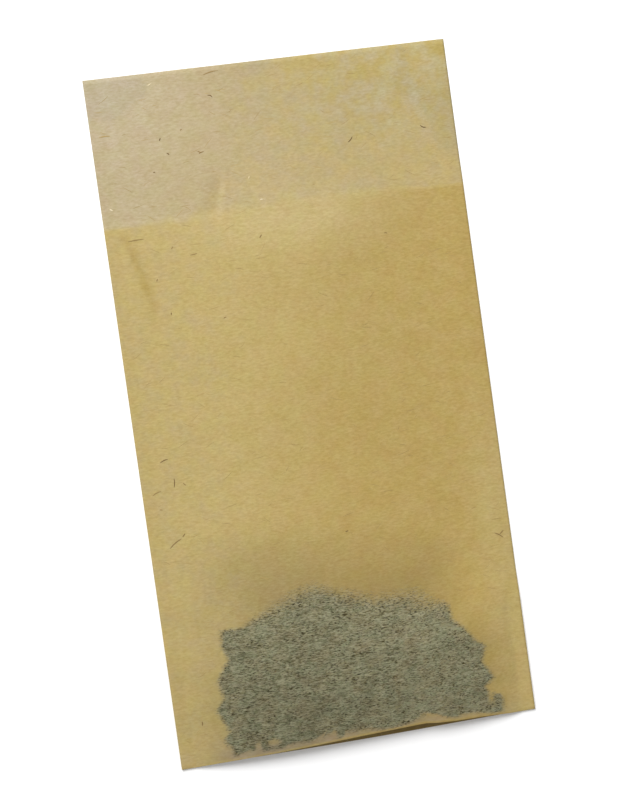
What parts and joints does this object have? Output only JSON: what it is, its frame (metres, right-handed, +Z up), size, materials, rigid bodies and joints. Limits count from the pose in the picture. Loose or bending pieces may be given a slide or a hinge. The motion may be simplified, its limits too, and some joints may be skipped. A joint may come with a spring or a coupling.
{
  "type": "fill-your-own paper tea bag",
  "caption": "Long flat tea filter of thin unbleached paper with a gusseted foot, sealed sides, an open mouth and a flap, holding a bed of loose fine tea.",
  "frame": {"origin": "centre of the underside, where the bag lies on its short panel", "axes": "+X across the bag, +Y along it from the gusseted foot to the flap, +Z up from the surface it lies on"},
  "size_m": [0.08, 0.151, 0.0055],
  "materials": {
    "filter_paper": "dull, soft and cloudy, thin enough for the tea to show through",
    "dry_tea": null
  },
  "bodies": {
    "root": {"filter_bag": "filter_paper", "tea_leaves": "dry_tea"}
  },
  "joints": []
}
